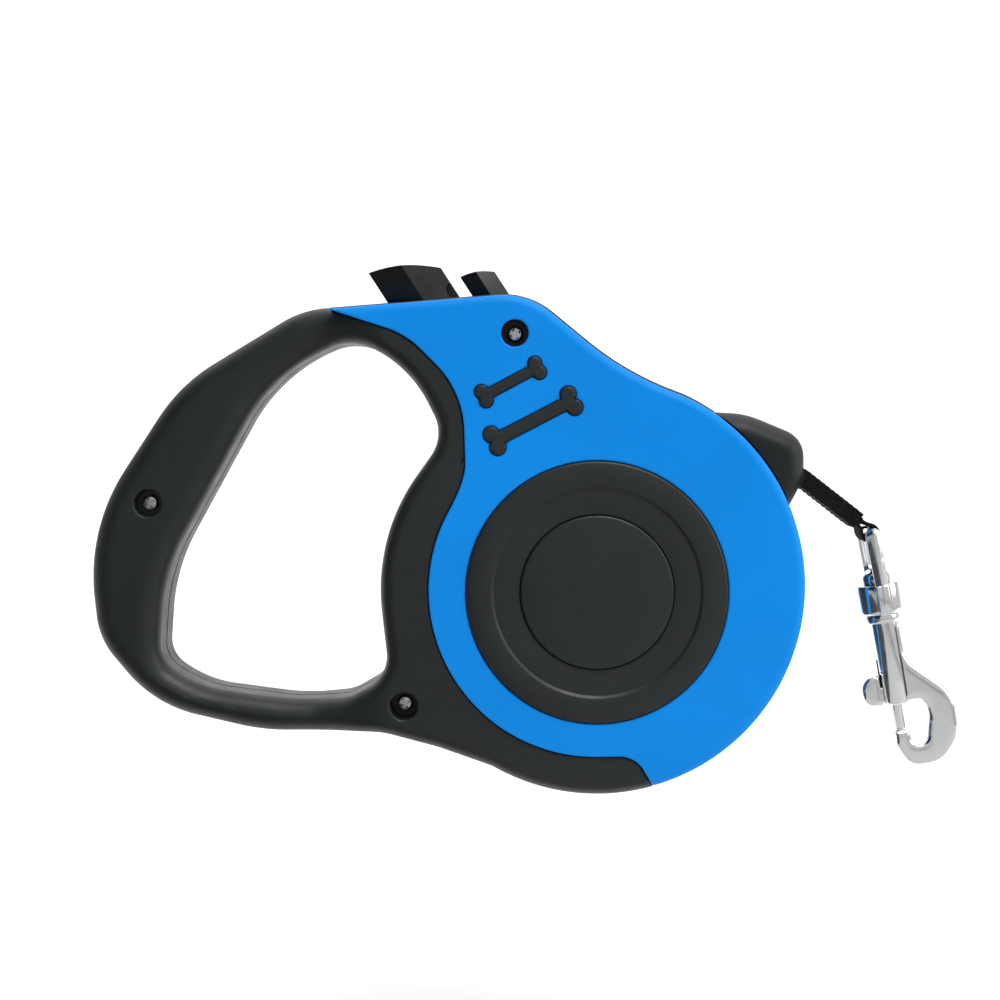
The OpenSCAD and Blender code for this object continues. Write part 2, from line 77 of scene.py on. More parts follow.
class Nodes:
    """Builds one procedural material, with textures in the object's own coordinates, in metres."""

    def __init__(self, name):
        self.material = bpy.data.materials.new(name)
        self.material.use_nodes = True
        self.tree = self.material.node_tree
        self.shader = self.tree.nodes["Principled BSDF"]
        self.where = self.add("ShaderNodeTexCoord").outputs["Object"]

    def add(self, kind, **inputs):
        node = self.tree.nodes.new(kind)
        for key, value in inputs.items():
            node.inputs[key.replace("_", " ")].default_value = value
        return node

    def link(self, a, b):
        self.tree.links.new(a, b)

    def set(self, **inputs):
        for key, value in inputs.items():
            self.shader.inputs[key.replace("_", " ")].default_value = value
        return self

    def noise(self, scale, detail=3.0, stretch=None):
        node = self.add("ShaderNodeTexNoise", Scale=scale, Detail=detail)
        source = self.where
        if stretch:
            mapping = self.add("ShaderNodeMapping", Scale=stretch)
            self.link(source, mapping.inputs["Vector"])
            source = mapping.outputs["Vector"]
        self.link(source, node.inputs["Vector"])
        return node.outputs["Fac"]

    def ramp(self, source, stops):
        node = self.add("ShaderNodeValToRGB")
        points = node.color_ramp.elements
        while len(points) < len(stops):
            points.new(0.5)
        for point, (position, colour) in zip(points, stops):
            point.position = position
            point.color = (*colour, 1)
        self.link(source, node.inputs["Fac"])
        return node.outputs["Color"]

    def spread(self, source, low, high):
        """source, from 0.3 to 0.7, as a number from low to high."""
        node = self.add("ShaderNodeMapRange")
        node.inputs["From Min"].default_value = 0.3
        node.inputs["From Max"].default_value = 0.7
        node.inputs["To Min"].default_value = low
        node.inputs["To Max"].default_value = high
        self.link(source, node.inputs["Value"])
        return node.outputs["Result"]

    def bump(self, heights, strength, distance):
        """Bumps from several heights, one on top of the other."""
        normal = None
        for height, share in heights:
            node = self.add("ShaderNodeBump", Strength=strength * share, Distance=distance)
            self.link(height, node.inputs["Height"])
            if normal is not None:
                self.link(normal, node.inputs["Normal"])
            normal = node.outputs["Normal"]
        self.link(normal, self.shader.inputs["Normal"])


def plastic(name, colour, roughness, grain, tint=0.12, polish=0.06):
    """Moulded plastic: a fine spark-eroded grain, faint flow marks and uneven polish."""
    m = Nodes(name)
    flow = m.noise(38.0, 4.0)
    dark = tuple(c * (1 - tint) for c in colour)
    light = tuple(min(1.0, c * (1 + tint)) for c in colour)
    m.link(m.ramp(flow, [(0.3, dark), (0.7, light)]), m.shader.inputs["Base Color"])
    fine = m.noise(2600.0, 2.0)
    worn = m.noise(240.0, 4.0)
    m.link(m.spread(worn, roughness - polish, roughness + polish), m.shader.inputs["Roughness"])
    m.bump([(fine, 1.0), (m.noise(900.0, 2.0), 0.5), (flow, 0.25)], grain, 0.0001)
    return m.set(IOR=1.46).material


def metal(name, colour, roughness, grain, scale=700.0, stretch=None):
    """Metal with faint marks in its polish."""
    m = Nodes(name)
    marks = m.noise(scale, 5.0, stretch)
    dark = tuple(c * 0.93 for c in colour)
    m.link(m.ramp(marks, [(0.3, dark), (0.7, colour)]), m.shader.inputs["Base Color"])
    m.link(m.spread(marks, roughness * 0.6, roughness * 1.5), m.shader.inputs["Roughness"])
    m.bump([(marks, 1.0), (m.noise(180.0, 3.0), 1.2)], grain, 0.0001)
    return m.set(Metallic=1.0).material


def woven(name, colour, across, along):
    """Black webbing: ribs across the tape and the threads that cross them."""
    m = Nodes(name)
    tilt = m.add("ShaderNodeMapping")
    tilt.inputs["Rotation"].default_value = (0, math.radians(-38), 0)
    m.link(m.where, tilt.inputs["Vector"])
    ribs = []
    for direction, scale in (("X", along), ("Y", across)):
        wave = m.add("ShaderNodeTexWave", Scale=scale, Distortion=0.6)
        wave.bands_direction = direction
        m.link(tilt.outputs["Vector"], wave.inputs["Vector"])
        ribs.append(wave.outputs["Fac"])
    fuzz = m.noise(1500.0, 4.0)
    dark = tuple(c * 0.5 for c in colour)
    light = tuple(c * 1.9 for c in colour)
    m.link(m.ramp(fuzz, [(0.35, dark), (0.7, light)]), m.shader.inputs["Base Color"])
    m.bump([(ribs[0], 1.0), (ribs[1], 0.8), (fuzz, 0.8)], 0.4, 0.0002)
    return m.set(Roughness=0.86, Specular_IOR_Level=0.22).material


BLACK = plastic("case_black", (0.0088, 0.0116, 0.0120), 0.44, 0.35)
CAP = plastic("cap_black", (0.0080, 0.0120, 0.0120), 0.44, 0.45)
BLUE = plastic("cover_blue", (0.0, 0.205, 0.64), 0.42, 0.10, 0.05, 0.04)
BLUE.node_tree.nodes["Principled BSDF"].inputs["Specular IOR Level"].default_value = 0.14
NOZZLE = plastic("nozzle_black", (0.0060, 0.0088, 0.0080), 0.50, 0.08)
NOZZLE.node_tree.nodes["Principled BSDF"].inputs["Specular IOR Level"].default_value = 0.34
BUTTON = plastic("button_black", (0.0030, 0.0033, 0.0033), 0.34, 0.06)
SPOOL = plastic("spool_white", (0.62, 0.62, 0.58), 0.45, 0.10, 0.05)
CHROME = metal("clip_chrome", (0.86, 0.87, 0.88), 0.10, 0.05, 420.0)
STEEL = metal("screw_steel", (0.60, 0.61, 0.62), 0.24, 0.20)
ARBOR = metal("arbor_steel", (0.46, 0.47, 0.49), 0.32, 0.25, 300.0, (1, 12, 1))
SPRING = metal("spring_steel", (0.33, 0.35, 0.40), 0.28, 0.20, 300.0, (1, 14, 1))
TAPE = woven("tape_black", (0.0042, 0.0040, 0.0040), 700.0, 420.0)
THREAD = plastic("thread_grey", (0.20, 0.20, 0.20), 0.75, 0.5, 0.3)

# ---------------------------------------------------------------- outlines


def unit(v):
    return v / max(np.linalg.norm(v), 1e-12)


def rounded(corners, step=0.9):
    """Points of a closed outline through corners given as (x, z, radius)."""
    spots = np.array([c[:2] for c in corners], float)
    out = []
    for i, (x, z, r) in enumerate(corners):
        here = spots[i]
        if r == 0:
            out.append(here)
            continue
        a, b = unit(spots[i - 1] - here), unit(spots[(i + 1) % len(spots)] - here)
        half = math.acos(float(np.clip(a @ b, -1, 1))) / 2
        centre = here + unit(a + b) * r / math.sin(half)
        start = here + a * r / math.tan(half) - centre
        sweep = math.copysign(math.pi - 2 * half, -a[0] * b[1] + a[1] * b[0])
        n = max(2, math.ceil(abs(sweep) * max(r, 1.5) / step))
        first = math.atan2(start[1], start[0])
        turn = np.linspace(first, first + sweep, n + 1)
        out += [centre + r * np.array((math.cos(t), math.sin(t))) for t in turn]
    return np.array(out)


def arc(cx, cz, r, first, last, step=0.9):
    n = max(2, math.ceil(abs(math.radians(last - first)) * r / step))
    t = np.radians(np.linspace(first, last, n + 1))
    return np.stack([cx + r * np.cos(t), cz + r * np.sin(t)], 1)


def dense(line, step, closed):
    """The same line with no stretch longer than step."""
    ends = np.roll(line, -1, 0) if closed else line[1:]
    out = []
    for a, b in zip(line, ends):
        n = max(1, math.ceil(np.linalg.norm(b - a) / step))
        out += [a + (b - a) * k / n for k in range(n)]
    if not closed:
        out.append(line[-1])
    kept = [out[0]]
    for p in out[1:]:
        if np.linalg.norm(p - kept[-1]) > 0.02:
            kept.append(p)
    return np.array(kept)


def normals(line, closed):
    if closed:
        d = np.roll(line, -1, 0) - np.roll(line, 1, 0)
    else:
        d = np.gradient(line, axis=0)
    d /= np.maximum(np.linalg.norm(d, axis=1), 1e-9)[:, None]
    return np.stack([-d[:, 1], d[:, 0]], 1)


def segments(line, closed):
    ends = np.roll(line, -1, 0) if closed else line[1:]
    return np.hstack([line[: len(ends)], ends])


def distance(points, segs):
    """Distance of each point to the nearest of the segments."""
    out = np.empty(len(points))
    a, d = segs[:, :2], segs[:, 2:] - segs[:, :2]
    length = np.maximum((d * d).sum(1), 1e-12)
    for k in range(0, len(points), 1500):
        p = points[k : k + 1500, None, :] - a[None]
        t = np.clip((p * d).sum(2) / length, 0, 1)
        q = p - t[..., None] * d
        out[k : k + 1500] = np.sqrt((q * q).sum(2).min(1))
    return out


def within(points, line):
    """True for each point inside the closed line."""
    out = np.zeros(len(points), bool)
    x, z = points[:, 0], points[:, 1]
    for (x1, z1), (x2, z2) in zip(line, np.roll(line, -1, 0)):
        if z1 == z2:
            continue
        out ^= ((z1 > z) != (z2 > z)) & (x < (x2 - x1) * (z - z1) / (z2 - z1) + x1)
    return out


def smooth(x, low, high):
    t = np.clip((x - low) / (high - low), 0, 1)
    return t * t * (3 - 2 * t)


def fall(d, r, drop):
    """How far a rounded edge lies below its face at distance d from the edge."""
    t = 1 - np.clip(d / r, 0, 1)
    return drop * (1 - np.sqrt(1 - t * t))


# ---------------------------------------------------------------- meshes


SHARP = 32.0
BOX_FACES = [(0, 1, 2, 3), (7, 6, 5, 4), (0, 4, 5, 1), (1, 5, 6, 2), (2, 6, 7, 3), (3, 7, 4, 0)]


def mesh_object(name, verts, faces, material, smooth_angle=SHARP):
    mesh = bpy.data.meshes.new(name)
    mesh.from_pydata([tuple(place(*v)) for v in verts], [], faces)
    mesh.validate()
    mesh.materials.append(material)
    obj = bpy.data.objects.new(name, mesh)
    scene.collection.objects.link(obj)
    shade(obj, smooth_angle)
    return obj


def shade(obj, angle):
    """Smooth shading, with sharp edges where the faces turn by more than angle."""
    bm = bmesh.new()
    bm.from_mesh(obj.data)
    bmesh.ops.recalc_face_normals(bm, faces=bm.faces)
    for f in bm.faces:
        f.smooth = True
    for e in bm.edges:
        e.smooth = len(e.link_faces) == 2 and e.calc_face_angle(0) < math.radians(angle)
    bm.to_mesh(obj.data)
    bm.free()


def mirrored(obj, name):
    """The same piece on the rear side of the middle plane."""
    copy = bpy.data.objects.new(name, obj.data.copy())
    scene.collection.objects.link(copy)
    copy.data.transform(Matrix.Scale(-1, 4, (0, 1, 0)))
    copy.data.flip_normals()
    return copy


def joined(name, pieces):
    bpy.ops.object.select_all(action="DESELECT")
    for p in pieces:
        p.select_set(True)
    bpy.context.view_layer.objects.active = pieces[0]
    bpy.ops.object.join()
    pieces[0].name = pieces[0].data.name = name
    return pieces[0]


def apply_modifiers(obj):
    graph = bpy.context.evaluated_depsgraph_get()
    made = bpy.data.meshes.new_from_object(obj.evaluated_get(graph))
    old = obj.data
    obj.modifiers.clear()
    obj.data = made
    bpy.data.meshes.remove(old)


def cut(obj, tool, operation="DIFFERENCE"):
    """Takes the tool away from obj, or keeps what they share, and removes the tool."""
    modifier = obj.modifiers.new("cut", "BOOLEAN")
    modifier.operation = operation
    modifier.solver = "EXACT"
    modifier.object = tool
    bpy.context.view_layer.update()
    apply_modifiers(obj)
    bpy.data.objects.remove(tool)
    shade(obj, SHARP)


def bevelled(obj, width, steps=3, angle=30.0):
    modifier = obj.modifiers.new("bevel", "BEVEL")
    modifier.width = width * MM
    modifier.segments = steps
    modifier.limit_method = "ANGLE"
    modifier.angle_limit = math.radians(angle)
    modifier.harden_normals = False
    bpy.context.view_layer.update()
    apply_modifiers(obj)
    shade(obj, 40.0)
    return obj


def plate(name, loops, inside, top, bottom, offsets, material, grid=2.5):
    """A closed solid over the part of the plane where inside() holds, between the depths bottom() and top()
    on the front side of the middle plane. loops are (line, closed). They become edges of its mesh, with a row
    of points on each side of them at every distance in offsets, and a lattice of points elsewhere."""
    points, edges, segs = [], [], []
    for line, closed in loops:
        first, n = len(points), len(line)
        points += list(line)
        edges += [(first + k, first + (k + 1) % n) for k in range(n if closed else n - 1)]
        segs.append(segments(line, closed))
    segs = np.vstack(segs)
    extra = []
    for line, closed in loops:
        n = normals(line, closed)
        for d in offsets:
            for side in (1, -1):
                row = line + side * d * n
                # a row stops where another line comes nearer
                extra.append(row[np.abs(distance(row, segs) - d) < 0.04 * d + 0.004])
    low, high = np.array(points).min(0), np.array(points).max(0)
    gx, gz = np.meshgrid(np.arange(low[0], high[0], grid), np.arange(low[1], high[1], grid))
    lattice = np.stack([gx.ravel() + 0.37 * (np.arange(gx.size) % 2), gz.ravel()], 1)
    extra.append(lattice[distance(lattice, segs) > max(offsets) + grid * 0.5])
    extra = np.vstack(extra)
    extra = extra[inside(extra)]
    flat = [Vector(p) for p in points] + [Vector(p) for p in extra]
    verts, _, faces, *_ = delaunay_2d_cdt(flat, edges, [], 0, 1e-4)
    verts = np.array([(v[0], v[1]) for v in verts])
    faces = np.array(faces)
    faces = faces[inside(verts[faces].mean(1))]
    used, faces = np.unique(faces, return_inverse=True)
    faces = faces.reshape(-1, 3)
    verts = verts[used]
    t, b, n = top(verts), bottom(verts), len(verts)
    solid = [(x, -y, z) for (x, z), y in zip(verts, t)] + [(x, -y, z) for (x, z), y in zip(verts, b)]
    sides = {}
    for f in faces:
        for p, q in zip(f, np.roll(f, -1)):
            sides[(p, q)] = sides.get((p, q), 0) + 1
    rim = [(p, q) for (p, q) in sides if (q, p) not in sides]
    out = [tuple(f) for f in faces.tolist()]
    out += [tuple(i + n for i in reversed(f)) for f in faces.tolist()]
    out += [(q, p, p + n, q + n) for p, q in rim]
    return mesh_object(name, solid, out, material)


def lathe(name, profile, material, turns=128, centre=(0.0, 0.0)):
    """A solid turned about the Y axis through centre. profile is (radius, y) from the axis to the axis."""
    verts, faces, rings = [], [], []
    for r, y in profile:
        if r < 1e-6:
            rings.append([len(verts)])
            verts.append((centre[0], y, centre[1]))
        else:
            rings.append(list(range(len(verts), len(verts) + turns)))
            for k in range(turns):
                a = 2 * math.pi * k / turns
                verts.append((centre[0] + r * math.cos(a), y, centre[1] + r * math.sin(a)))
    for a, b in zip(rings, rings[1:]):
        for k in range(turns):
            p, q = a[k % len(a)], a[(k + 1) % len(a)]
            s, t = b[k % len(b)], b[(k + 1) % len(b)]
            face = tuple(dict.fromkeys((p, q, t, s)))
            if len(face) > 2:
                faces.append(face)
    return mesh_object(name, verts, faces, material)


# ---------------------------------------------------------------- outlines of the case

LINE_STEP = 1.3

# the case from the side: a round end about ROUND, and corners (x, z, radius) for the rest of its outline
ROUND, ROUND_R = (0.0, 1.5), 48.1
ROUND_START = (20, 45.2)
outer_top = [(-15.7, 68.8, 18), (6.4, 50.6, 70), (*ROUND_START, 0)]
outer_low = [
    (-24, -40.2, 0), (-36.2, -35.9, 18), (-49, -32.5, 18), (-77, -32.6, 50), (-102, -26.8, 30),
    (-115, -11.5, 18), (-117.9, 14, 45), (-96.3, 47.4, 40), (-68.1, 64.6, 22),
]
corner_line = rounded(outer_top + outer_low)
split = int(np.argmin(np.linalg.norm(corner_line - ROUND_START, axis=1)))
belly = arc(*ROUND, ROUND_R, 65.4, -119.9)
OUTER = dense(np.vstack([corner_line[:split], belly, corner_line[split + 2 :]]), LINE_STEP, True)

# the hand opening
OPENING = dense(rounded([
    (-56.5, 58.2, 12), (-42.7, 51, 28), (-34.9, 35.4, 9), (-51.3, 12.3, 45), (-47.6, -19.4, 8),
    (-57.2, -24.8, 9), (-69, -25.6, 50), (-91.5, -22.6, 26), (-101, -16.4, 7), (-99.8, 4, 45),
    (-75, 49.5, 40),
]), LINE_STEP, True)

# the edge between black and blue: down the throat, round the hub and out at the bottom
THROAT_END = (-31.9, 21.6)
edge_top = rounded([
    (-64, 90, 0), (-61.5, 64.4, 0.8), (-43.5, 58.5, 20), (-30.6, 45.5, 22), (-30, 27, 14), (*THROAT_END, 0),
    (-90, 0, 0),
])
edge_top = edge_top[: int(np.argmin(np.linalg.norm(edge_top - THROAT_END, axis=1))) + 1]
edge_low = rounded([(-20, -60, 0), (-0.5, -37.5, 0), (8.6, -37.4, 6), (14.6, -47.5, 0), (19.5, -56, 0)])[1:]
EDGE = dense(np.vstack([edge_top[:-1], arc(-0.5, 0.4, 37.9, 148, 270), edge_low]), LINE_STEP, False)
for _ in range(8):
    near = np.linalg.norm(EDGE - THROAT_END, axis=1) < 6
    EDGE[near] = (0.5 * EDGE + 0.25 * np.roll(EDGE, 1, 0) + 0.25 * np.roll(EDGE, -1, 0))[near]
BEYOND = [(19.5, -90), (-160, -90), (-160, 90)]
ZONE = np.vstack([EDGE, BEYOND])

# the hollow for the spool, and its upper part for the buttons' feet
CAVITY_HEAD = rounded([
    (-48, 61.6, 2), (-17.5, 64, 10), (-1, 52.5, 20), (24, 34, 0), (0, 0, 0), (-28.3, 31, 0), (-33, 44, 3),
    (-41, 54.5, 3), (-48, 57.8, 1),
])
CAVITY_R = 42.3

# x, z, lean in degrees, length, half the space between an end's two lobes, lobe radius, width of the shaft
BONES = [(-19.7, 47.7, 28.0, 13.7, 1.15, 1.6, 2.3), (-14.6, 38.9, 27.5, 19.7, 1.65, 1.85, 2.9)]

# x, z and the depth of the recess's floor: the top screw, the one below the hub and the one in the grip
SCREWS = [(-18.7, 58.9, 7.2), (-44.0, -26.0, 7.2), (-103.0, 20.0, 6.0)]
x0, z0, depth0 = SCREWS[0]
RECESS_R = 3.15
CUP_R = 4.4
HUB_R = 29.8

outer_segs, opening_segs = segments(OUTER, True), segments(OPENING, True)
free_segs = np.vstack([outer_segs, opening_segs])
edge_segs = segments(EDGE, False)


def circle_line(cx, cz, r, step=1.0):
    return arc(cx, cz, r, 0, 360, step)[:-1]


def off_line(line, d, closed):
    """The line moved sideways by d, to its left."""
    return line + normals(line, closed) * d


def bone_depth(points, bone):
    """Signed distance into a bone: positive inside it."""
    x, z, lean, length, space, lobe, shaft = bone
    a = math.radians(lean)
    d = points - np.array((x, z))
    u = d[:, 0] * math.cos(a) + d[:, 1] * math.sin(a)
    v = -d[:, 0] * math.sin(a) + d[:, 1] * math.cos(a)
    best = np.minimum(length / 2 - np.abs(u), shaft / 2 - np.abs(v))
    for s in (1, -1):
        for t in (1, -1):
            best = np.maximum(best, lobe - np.hypot(u - s * length / 2, v - t * space))
    return best


def bone_line(bone, grow):
    """The bone's outline moved outwards by grow: two lobes at each end, and the shaft's sides."""
    x, z, lean, length, space, lobe, shaft = bone
    a, r = math.radians(lean), lobe + grow
    leave = math.pi - math.asin(max(-1.0, min(1.0, (shaft / 2 + grow - space) / r)))
    meet = -math.asin(space / r)
    turn = np.linspace(leave, meet, 17)
    round_lobe = np.stack([length / 2 + r * np.cos(turn), space + r * np.sin(turn)], 1)
    end = np.vstack([round_lobe, (round_lobe * (1, -1))[-2::-1]])
    line = dense(np.vstack([end, -end]), 1.2, True)
    u, v = line[:, 0], line[:, 1]
    return np.stack([x + u * math.cos(a) - v * math.sin(a), z + u * math.sin(a) + v * math.cos(a)], 1)


def in_case(p):
    return within(p, OUTER) & ~within(p, OPENING)


def in_cavity(p):
    return (np.hypot(p[:, 0], p[:, 1]) < CAVITY_R - 0.01) | within(p, CAVITY_HEAD)


# ---------------------------------------------------------------- case shells

PLATE_ROWS = (0.03, 0.12, 0.3, 0.6, 1.0, 1.5, 2.1, 2.8, 3.6, 4.5, 5.6, 7.0)
PARTING = 0.4
CAVITY_TOP = 10.0
RIM_W, RIM_Y, SEAT_Y = 2.6, 7.0, 12.0


def black_top(p):
    """The black face, 10 mm from the middle plane on the grip and 13.3 mm on the body, with round edges."""
    d, e = distance(p, free_segs), distance(p, edge_segs)
    body = smooth(p[:, 0], -66, -47)
    high = 10 + 3.3 * body
    start = 5.6 + 3.4 * body
    radius = 4.6 - 1.6 * body
    t = 1 - np.clip(d / radius, 0, 1)
    y = start + (high - start) * np.sqrt(1 - t * t)
    y -= fall(e, 0.6, 0.5)
    for x, z, depth in SCREWS[1:]:
        r = np.hypot(p[:, 0] - x, p[:, 1] - z)
        y = np.where(r < RECESS_R - 0.01, depth, y - fall(r - RECESS_R, 0.4, 0.35))
    return y


def shell_bottom(p, segs):
    """The top of the hollow, and elsewhere the middle plane with the parting groove along its edges."""
    d = distance(p, segs)
    return np.where(in_cavity(p), CAVITY_TOP, np.where(d < PARTING, PARTING - d, 0.0))


cavity_line = dense(CAVITY_HEAD, 1.6, True)
cavity_ring = circle_line(0, 0, CAVITY_R, 2.0)
shell_lines = [(OUTER, True), (OPENING, True), (EDGE, False), (cavity_line, True), (cavity_ring, True)]
black_plate = plate(
    "black_plate",
    shell_lines + [(circle_line(x, z, RECESS_R, 0.5), True) for x, z, _ in SCREWS[1:]],
    lambda p: in_case(p) & within(p, ZONE),
    black_top, lambda p: shell_bottom(p, free_segs), PLATE_ROWS, BLACK,
)


def band_top(p):
    """The shell under the blue cover: a low rim at its edge and the seat that the cover rests on."""
    d = distance(p, outer_segs)
    return np.where(d < RIM_W, RIM_Y - fall(d, 0.4, 0.35), SEAT_Y)


NOZZLE_LINE = dense(rounded([
    (24, 41.2, 0), (35, 40.6, 20), (48.4, 35, 6.5), (48.4, 25.5, 6), (44, 17.3, 0), (36, 10, 0), (10, 30, 0),
]), 0.9, True)


def in_band(p):
    """The part under the blue cover, without the rim at the nozzle and the cup of the top screw."""
    nozzle_rim = within(p, NOZZLE_LINE) & (distance(p, outer_segs) < RIM_W)
    cup = np.hypot(p[:, 0] - x0, p[:, 1] - z0) <= CUP_R - 0.06
    return in_case(p) & ~within(p, ZONE) & ~nozzle_rim & ~cup


band_plate = plate(
    "band_plate",
    shell_lines + [
        (NOZZLE_LINE, True), (off_line(OUTER, -RIM_W, True), True),
        (circle_line(x0, z0, CUP_R - 0.05, 0.7), True),
    ],
    in_band,
    band_top, lambda p: np.where(within(p, NOZZLE_LINE), RIM_Y, shell_bottom(p, outer_segs)),
    (0.03, 0.12, 0.3, 0.6, 1.5), BLACK, 5.0,
)

# the buttons' line of travel, and the direction across it
BUTTON_LEAN = math.radians(33)
ALONG = np.array((math.sin(BUTTON_LEAN), -math.cos(BUTTON_LEAN)))
ACROSS = np.array((math.cos(BUTTON_LEAN), math.sin(BUTTON_LEAN)))


def prism(name, outline, top, length, above, material):
    """A prism with the given outline (across, y), along a button's line of travel."""
    verts = []
    for t in (-above, length):
        for a, y in outline:
            q = np.array(top) + ACROSS * a + ALONG * t
            verts.append((q[0], y, q[1]))
    n = len(outline)
    faces = [tuple(range(n)), tuple(range(2 * n - 1, n - 1, -1))]
    faces += [(k, k + n, (k + 1) % n + n, (k + 1) % n) for k in range(n)]
    return mesh_object(name, verts, faces, material)


def hexagon(half_w, half_y, end_y, grow=0.0):
    x, m, e = half_w + grow, half_y + grow, end_y + grow
    return [(-x, -e), (0, -m), (x, -e), (x, e), (0, m), (-x, e)]


BRAKE_TOP, LOCK_TOP = (-44.9, 74.5), (-27.7, 73.2)
for plate_piece in (black_plate, band_plate):
    for top, size, length in ((BRAKE_TOP, (7.4, 6.3, 3.6), 24), (LOCK_TOP, (3.7, 5.2, 3.4), 16)):
        cut(plate_piece, prism("channel", hexagon(*size, 0.3), top, length, 12, BLACK))

# the ring is drawn on the rear side, from the axis out, and mirrored to the front
hub_ring = lathe("hub_ring", [
    (0, 11.9), (HUB_R, 11.9), (HUB_R, 13.75), (29.72, 14.08), (29.52, 14.3), (29.25, 14.4), (24.2, 14.4),
    (24.1, 14.37), (23.62, 13.88), (23.5, 13.8), (17.95, 13.8), (17.7, 13.72), (17.52, 13.5), (17.5, 12.4),
    (0, 12.4),
][::-1], BLACK, 180)
hub_ring.data.transform(Matrix.Scale(-1, 4, (0, 1, 0)))
hub_ring.data.flip_normals()


def bone_piece(name, bone):
    """A raised bone of the black shell, which stands in a window of the blue cover."""
    return plate(
        name, [(bone_line(bone, 0.0), True)], lambda p: bone_depth(p, bone) > -0.02,
        lambda p: 14.3 - fall(np.maximum(bone_depth(p, bone), 0), 0.5, 0.45), lambda p: np.full(len(p), 11.9),
        (0.08, 0.2, 0.4, 0.7), BLACK, 0.8,
    )


bone_pieces = [bone_piece(f"bone{index}", bone) for index, bone in enumerate(BONES)]
screw_cup = lathe("screw_cup", [
    (0, -5.8), (CUP_R, -5.8), (CUP_R, -11.95), (RECESS_R, -11.95), (RECESS_R, -depth0), (0, -depth0),
], BLACK, 48, (x0, z0))
top_boss = lathe("top_boss", [(0, 0), (2.0, 0), (2.0, -5.9), (0, -5.9)], BLACK, 32, (x0, z0))
case_front = joined("case_front", [black_plate, band_plate, hub_ring, screw_cup, top_boss] + bone_pieces)
case_rear = mirrored(case_front, "case_rear")
for piece, node in ((case_front, "front_shell"), (case_rear, "rear_shell")):
    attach(piece, "housing")
    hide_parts(node)

# ---------------------------------------------------------------- blue covers

COVER_OUTER = off_line(OUTER, -0.7, True)
COVER_EDGE = off_line(EDGE, 0.13, False)
cover_outer_segs, cover_edge_segs = segments(COVER_OUTER, True), segments(COVER_EDGE, False)
COVER_ZONE = np.vstack([COVER_EDGE, BEYOND])
WINDOW_GAP = 0.12
COVER_ROWS = (0.03, 0.1, 0.22, 0.38, 0.6, 1.0, 1.5, 2.1, 2.8, 3.6)


def from_hub(p):
    return np.hypot(p[:, 0], p[:, 1]) - HUB_R


def cover_inside(p):
    keep = within(p, COVER_OUTER) & ~within(p, COVER_ZONE) & (from_hub(p) > WINDOW_GAP - 0.005)
    for bone in BONES:
        keep &= bone_depth(p, bone) < -WINDOW_GAP + 0.015
    return keep


def cover_shape(hole):
    """A blue cover, 14 mm from the middle plane, with windows for the bones and a hole if its screw shows."""
    def from_screw(p):
        return np.hypot(p[:, 0] - x0, p[:, 1] - z0) - RECESS_R

    def top(p):
        y = 14.0 - fall(distance(p, cover_outer_segs), 2.2, 1.6)
        inner = np.minimum(distance(p, cover_edge_segs), from_hub(p) - WINDOW_GAP)
        for bone in BONES:
            inner = np.minimum(inner, -bone_depth(p, bone) - WINDOW_GAP)
        if hole:
            inner = np.minimum(inner, from_screw(p))
        return y - fall(np.maximum(inner, 0), 0.45, 0.4)

    def bottom(p):
        return np.where(distance(p, cover_outer_segs) < 1.8, RIM_Y + 0.1, SEAT_Y)

    def inside(p):
        return cover_inside(p) & (from_screw(p) > -0.01) if hole else cover_inside(p)

    lines = [
        (COVER_OUTER, True), (COVER_EDGE, False), (circle_line(0, 0, HUB_R + WINDOW_GAP), True),
        (off_line(OUTER, -2.5, True), True),
    ]
    lines += [(bone_line(bone, WINDOW_GAP), True) for bone in BONES]
    if hole:
        lines.append((circle_line(x0, z0, RECESS_R, 0.5), True))
    return plate("cover", lines, inside, top, bottom, COVER_ROWS, BLUE, 3.0)


cover_front = cover_shape(True)
cover_front.name = "cover_front"
plain = cover_shape(False)
cover_rear = mirrored(plain, "cover_rear")
bpy.data.objects.remove(plain)
for piece, node in ((cover_front, "front_cover"), (cover_rear, "rear_cover")):
    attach(piece, "housing")
    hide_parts(node)

# ---------------------------------------------------------------- hub caps and screws

cap_profile = [
    (0, -12.4), (17.4, -12.4), (17.4, -13.95), (17.33, -14.2), (17.15, -14.35), (16.9, -14.4), (12, -14.4),
    (6, -14.4), (0, -14.4),
]
cap_front = lathe("hub_cap_front", cap_profile, CAP, 160)
cap_rear = mirrored(cap_front, "hub_cap_rear")
for piece, node in ((cap_front, "front_hub_cap"), (cap_rear, "rear_hub_cap")):
    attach(piece, "housing")
    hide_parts(node)

screws = []
for x, z, depth in SCREWS:
    head = lathe("screw", [
        (0, 6.9), (0.9, 6.9), (1.0, 6.5), (1.0, -depth), (1.72, -depth), (1.8, -depth - 0.2),
        (1.8, -depth - 0.85), (1.7, -depth - 1.15), (1.5, -depth - 1.32), (1.25, -depth - 1.39),
        (0.6, -depth - 1.4), (0, -depth - 1.4),
    ], STEEL, 48, (x, z))
    # the cross in the head, from two arms that narrow downwards
    for lean in (25, 115):
        a = math.radians(lean)
        arm = []
        for y, long, wide in ((-depth - 2.0, 1.45, 0.36), (-depth - 0.45, 0.85, 0.2)):
            for s, t in ((-1, -1), (1, -1), (1, 1), (-1, 1)):
                u, v = s * long, t * wide
                arm.append((x + u * math.cos(a) - v * math.sin(a), y, z + u * math.sin(a) + v * math.cos(a)))
        cut(head, mesh_object("arm", arm, BOX_FACES, STEEL))
    screws.append(head)
screws = joined("screw_set", screws)
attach(screws, "housing")
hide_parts("case_screws")

# ---------------------------------------------------------------- nozzle

